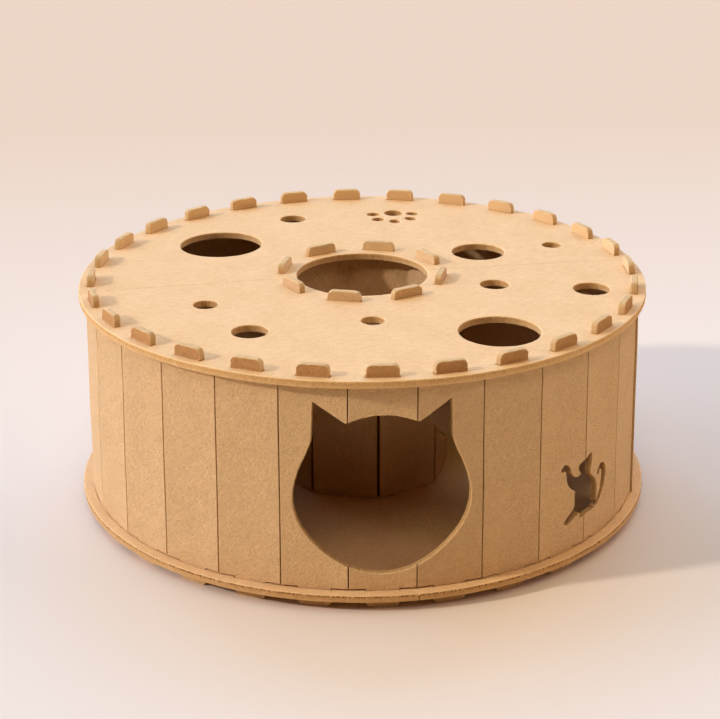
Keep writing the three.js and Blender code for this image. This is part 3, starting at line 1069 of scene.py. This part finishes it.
class TUNNEL_OT_bottom_disc(Operator):
    """Lays the bottom disc"""

    bl_idname = "tunnel_house.bottom_disc"
    bl_label = "Bottom disc"

    def execute(self, context):
        sheet = Disc(BOTTOM_FACE, BOTTOM_RADIUS, BOTTOM_FOLD_ANGLE, crowned=False, seed=21)
        holes = OUTER.slots(spread_at(BOTTOM_FACE - DISC_THICK / 2)) + WELL.slots(1)
        piece = laid("felt_bottom_disc", sheet, holes, context.scene.tunnel_sizes, seed=31)
        finished(piece, "bottom_disc", bottom_felt("floor_felt", context.scene.tunnel_colours))
        return {"FINISHED"}


class TUNNEL_OT_inner_wall(Operator):
    """Stands up the eight-sided wall round the well"""

    bl_idname = "tunnel_house.inner_wall"
    bl_label = "Inner wall"

    def execute(self, context):
        doorway = circle((-WELL.half, BOTTOM_FACE + TUNNEL_HEIGHT / 2), DOOR_RADIUS)
        sizes = context.scene.tunnel_sizes
        piece = folded("felt_inner_wall", WELL, -WELL_PANELS // 2, WELL_PANELS, [doorway], sizes, seed=61)
        finished(piece, "inner_wall", inner_wall_felt("well_felt", context.scene.tunnel_colours))
        return {"FINISHED"}


class TUNNEL_OT_top_disc(Operator):
    """Lays the top disc with its holes and its paw print"""

    bl_idname = "tunnel_house.top_disc"
    bl_label = "Top disc"

    def execute(self, context):
        sheet = Disc(TOP_FACE, TOP_RADIUS, TOP_FOLD_ANGLE, crowned=True, seed=22)
        holes = OUTER.slots(spread_at(TOP_FACE - DISC_THICK / 2)) + WELL.slots(1)
        holes += [ellipse(polar(at, angle), across, across) for at, angle, across in HOLES]
        holes += [*paw_holes(), circle((0, 0), WELL_HOLE_RADIUS)]
        piece = laid("felt_top_disc", sheet, holes, context.scene.tunnel_sizes, seed=32)
        finished(piece, "top_disc", top_felt("top_felt", context.scene.tunnel_colours))
        return {"FINISHED"}


# The camera, as it stood in front of the house: its place above the floor, and how it was turned
CAMERA_PLACE = (0.00564, -1.8861, 0.8827)
CAMERA_DOWN = radians(21.4567)
CAMERA_YAW = radians(-0.2514)
CAMERA_ROLL = radians(-0.191)
CAMERA_LENS = 93.283
CAMERA_SENSOR = 36
CAMERA_SEES_TO = 60
HOUSE_TURN = radians(-3.873)  # the house was turned a little on the floor

# The floor is painted darker and warmer behind the house, painted shade: it fades to its far colour from a
# little ahead of the middle of the house, at this rate per metre.
FLOOR_HALF = 9.0
FADE_AHEAD = 0.1
FADE_RATE = 0.6
FILL_COLOUR = (1.0, 0.7, 0.5, 1)


class Lamp(NamedTuple):
    """Light from one side: where it comes from round the house and above the floor, and how soft it is."""

    name: str
    azimuth: float
    height: float
    softness: float
    strength: tuple


LAMPS = (
    Lamp("window_sun", 195, 29.1, 4, (1.95, 1.9, 2.05)),
    Lamp("window_wide", 175, 20, 50, (0.9, 0.85, 1.15)),
    Lamp("window_behind", 150, 25, 70, (1.35, 2.0, 3.7)),
    Lamp("behind", 90, 30, 70, (0.75, 1.85, 4.4)),
    Lamp("right", 20, 25, 80, (2.15, 1.85, 1.95)),
    Lamp("front", 270, 56, 25, (0.72, 0.6, 0.6)),
    Lamp("overhead", 90, 90, 40, (0.35, 0.35, 0.05)),
)


def camera_placed(scene):
    """Adds the camera and turns it to the house."""
    ahead = Vector(
        (sin(CAMERA_YAW) * cos(CAMERA_DOWN), cos(CAMERA_YAW) * cos(CAMERA_DOWN), -sin(CAMERA_DOWN))
    )
    level = Vector((cos(CAMERA_YAW), -sin(CAMERA_YAW), 0))
    upright = level.cross(ahead)
    right = cos(CAMERA_ROLL) * level + sin(CAMERA_ROLL) * upright
    top = cos(CAMERA_ROLL) * upright - sin(CAMERA_ROLL) * level
    stand = Matrix((right, top, -ahead)).transposed().to_4x4()
    stand.translation = CAMERA_PLACE
    data = bpy.data.cameras.new("camera")
    data.sensor_width = CAMERA_SENSOR
    data.lens = CAMERA_LENS
    data.clip_end = CAMERA_SEES_TO
    camera = bpy.data.objects.new("camera", data)
    camera.matrix_world = Matrix.Rotation(HOUSE_TURN, 4, "Z") @ stand
    scene.collection.objects.link(camera)
    scene.camera = camera


def lit_by(scene, lamp, brightness):
    """Adds a lamp that shines from one direction over everything."""
    data = bpy.data.lights.new(lamp.name, "SUN")
    strongest = max(lamp.strength)
    data.color = [part / strongest for part in lamp.strength]
    data.energy = strongest * brightness
    data.angle = radians(lamp.softness)
    light = bpy.data.objects.new(lamp.name, data)
    level = polar(cos(radians(lamp.height)), lamp.azimuth)
    towards = Matrix.Rotation(HOUSE_TURN, 3, "Z") @ Vector((*level, sin(radians(lamp.height))))
    light.rotation_euler = towards.to_track_quat("Z", "Y").to_euler()
    scene.collection.objects.link(light)


def floor_material(stage):
    """A plain floor, painted a little darker and warmer a good way behind the house: painted shade."""
    s = Shading("pale_floor")
    back = s.part(s.add("TexCoord", output="Object"), "Y")
    tone = s.blend(((back + FADE_AHEAD) * FADE_RATE).clamped(), stage.floor, stage.far_floor_shade)
    return s.finish(Base_Color=tone, Roughness=1.0, Specular_IOR_Level=0.0)


def floor_laid(scene):
    """Adds the floor."""
    mesh = bpy.data.meshes.new("floor")
    corners = [(x * FLOOR_HALF, y * FLOOR_HALF, 0) for x, y in ((-1, -1), (1, -1), (1, 1), (-1, 1))]
    mesh.from_pydata(corners, [], [(0, 1, 2, 3)])
    mesh.materials.append(floor_material(scene.tunnel_stage))
    floor = bpy.data.objects.new("floor", mesh)
    scene.collection.objects.link(floor)


def filled_in(scene):
    """Adds the soft light all round."""
    world = bpy.data.worlds.new("soft_light")
    world.use_nodes = True
    sky = world.node_tree.nodes["Background"]
    sky.inputs["Color"].default_value = FILL_COLOUR
    sky.inputs["Strength"].default_value = scene.tunnel_stage.fill
    scene.world = world


class TUNNEL_OT_stage(Operator):
    """Sets the floor, the lights and the camera"""

    bl_idname = "tunnel_house.stage"
    bl_label = "Stage"

    def execute(self, context):
        floor_laid(context.scene)
        for lamp in LAMPS:
            lit_by(context.scene, lamp, context.scene.tunnel_stage.lamps)
        filled_in(context.scene)
        context.scene.view_settings.view_transform = "Standard"
        camera_placed(context.scene)
        return {"FINISHED"}


class TUNNEL_PT_house(Panel):
    """Sizes, colours and lights of the house, and a button for each piece"""

    bl_idname = "TUNNEL_PT_house"
    bl_label = "Tunnel House"
    bl_space_type = "VIEW_3D"
    bl_region_type = "UI"
    bl_category = "Tunnel House"

    def draw(self, context):
        for group in (context.scene.tunnel_sizes, context.scene.tunnel_colours, context.scene.tunnel_stage):
            column = self.layout.column()
            for name in group.__annotations__:
                column.prop(group, name)
        for step in STEPS:
            self.layout.operator(step.bl_idname)


# The outer wall comes before the discs, because they rest on it.
STEPS = (
    TUNNEL_OT_stage,
    TUNNEL_OT_outer_wall,
    TUNNEL_OT_bottom_disc,
    TUNNEL_OT_inner_wall,
    TUNNEL_OT_top_disc,
)
CLASSES = (FeltSizes, FeltColours, StageSettings, *STEPS, TUNNEL_PT_house)


def register():
    for cls in CLASSES:
        bpy.utils.register_class(cls)
    bpy.types.Scene.tunnel_sizes = PointerProperty(type=FeltSizes)
    bpy.types.Scene.tunnel_colours = PointerProperty(type=FeltColours)
    bpy.types.Scene.tunnel_stage = PointerProperty(type=StageSettings)


def unregister():
    del bpy.types.Scene.tunnel_sizes
    del bpy.types.Scene.tunnel_colours
    del bpy.types.Scene.tunnel_stage
    for cls in reversed(CLASSES):
        bpy.utils.unregister_class(cls)


def main():
    register()
    bpy.ops.tunnel_house.stage()
    bpy.ops.tunnel_house.outer_wall()
    bpy.ops.tunnel_house.bottom_disc()
    bpy.ops.tunnel_house.inner_wall()
    bpy.ops.tunnel_house.top_disc()


if __name__ == "__main__":
    main()
